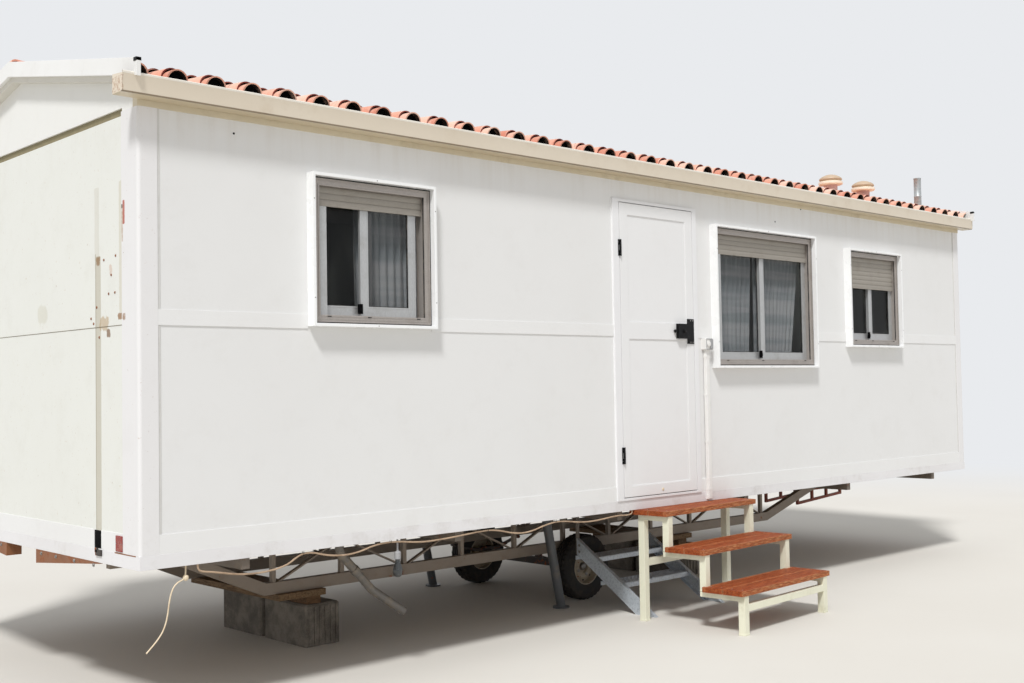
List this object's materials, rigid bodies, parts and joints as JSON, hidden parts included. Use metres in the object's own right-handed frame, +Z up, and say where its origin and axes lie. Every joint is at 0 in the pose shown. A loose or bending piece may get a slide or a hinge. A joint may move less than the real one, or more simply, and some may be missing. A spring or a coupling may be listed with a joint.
{
  "type": "mobile home",
  "caption": "White panel mobile home on a steel chassis with a tiled gable roof, a hinged door, shuttered windows, wooden steps and concrete block footings.",
  "frame": {"origin": "centre of the whole footprint, gutters, verge boards and wooden steps included, at ground level", "axes": "+X along the long walls to the right as seen from the door side, +Y from the door side into the home, +Z up"},
  "size_m": [8.79, 4.002, 3.6461],
  "materials": {
    "white_paint": "white baked enamel with a fine leather grain, dusty",
    "frame_paint": "white paint, rust at the joints",
    "cream_paint": "cream gutter enamel, sun bleached",
    "roof_tile": "terracotta, matt, weathered",
    "window_metal": "warm grey powder coat, satin",
    "shutter_slat": "grey beige slats, dusty",
    "pane": "clear glass",
    "curtain_cloth": "thin pale curtain cloth",
    "door_paint": "white paint on a framed leaf",
    "black_iron": "black enamel, worn at the edges",
    "white_plastic": "white plastic",
    "chassis_paint": "brown grey primer, dusty and rusty",
    "oxide_primer": "red oxide primer",
    "zinc": "galvanised, dull spangle",
    "tyre_rubber": "dusty black rubber",
    "rim_paint": "pale painted rim, rusty",
    "block_concrete": "rough cast concrete",
    "sawn_timber": "weathered sawn timber",
    "tread_wood": "stained hardwood boards",
    "step_paint": "pale cream green paint, chipped",
    "grey_pipe": "grey drain plastic, dusty",
    "cable_sheath": "pale cable sheath, dusty",
    "lamp_glass": "dusty lamp bulb in a black holder on a white flex",
    "deck_board": "plywood floor"
  },
  "bodies": {
    "home": {"base_channels_long": "frame_paint", "base_channels_end": "frame_paint", "floor_joists": "chassis_paint", "floor_deck": "deck_board", "front_wall_left": "white_paint", "front_wall_over_door": "white_paint", "front_wall_right": "white_paint", "rear_wall": "white_paint", "end_walls": "white_paint", "corner_posts": "white_paint", "gable_panels": "white_paint", "wall_rails": "white_paint", "ceiling": "white_paint", "eave_beams": "white_paint", "roof_panel_front": "white_paint", "roof_panel_rear": "white_paint", "verge_boards": "frame_paint", "roof_tiles_front": "roof_tile", "roof_tiles_rear": "roof_tile", "ridge_cap": "roof_tile", "gutters": "cream_paint", "roof_vents": "cream_paint", "flue_pipe": "zinc", "window_surrounds": "white_paint", "window_frames": "window_metal", "window_shutters": "shutter_slat", "window_sashes": "window_metal", "window_glass": "pane", "curtains": "curtain_cloth", "curtain_rods": "white_plastic", "door_frame": "door_paint", "door_hinges_fixed": "black_iron", "cable_cover": "white_plastic", "chassis_top_chords": "chassis_paint", "chassis_bottom_chords": "chassis_paint", "chassis_webs": "chassis_paint", "chassis_cross_members": "chassis_paint", "tail_lattices": "oxide_primer", "end_brackets": "sawn_timber", "axle": "chassis_paint", "leaf_springs": "chassis_paint", "steady_legs": "chassis_paint", "concrete_blocks": "block_concrete", "timber_wedges": "sawn_timber", "bearing_planks": "sawn_timber", "step_frame": "step_paint", "step_treads": "tread_wood", "metal_steps": "zinc", "metal_step_hanger": "chassis_paint", "waste_pipe": "grey_pipe", "base_cable": "cable_sheath", "loose_lead": "cable_sheath", "pendant_lamp": "lamp_glass"},
    "door": {"door_leaf": "door_paint", "door_hinges_moving": "black_iron", "door_lock": "black_iron"},
    "wheel_front": {"tyre_front": "tyre_rubber", "rim_front": "rim_paint"},
    "wheel_rear": {"tyre_rear": "tyre_rubber", "rim_rear": "rim_paint"}
  },
  "joints": [
    {"name": "door_hinge", "type": "hinge", "parent": "home", "child": "door", "pos_m": [-0.6765, -1.155, 1.8], "axis": [0, 0, -1], "range_deg": [0, 105]},
    {"name": "front_wheel_spin", "type": "hinge", "parent": "home", "child": "wheel_front", "pos_m": [-0.175, -0.239, 0.25], "axis": [0, 1, 0], "continuous": true},
    {"name": "rear_wheel_spin", "type": "hinge", "parent": "home", "child": "wheel_rear", "pos_m": [-0.175, 0.961, 0.25], "axis": [0, 1, 0], "continuous": true}
  ]
}
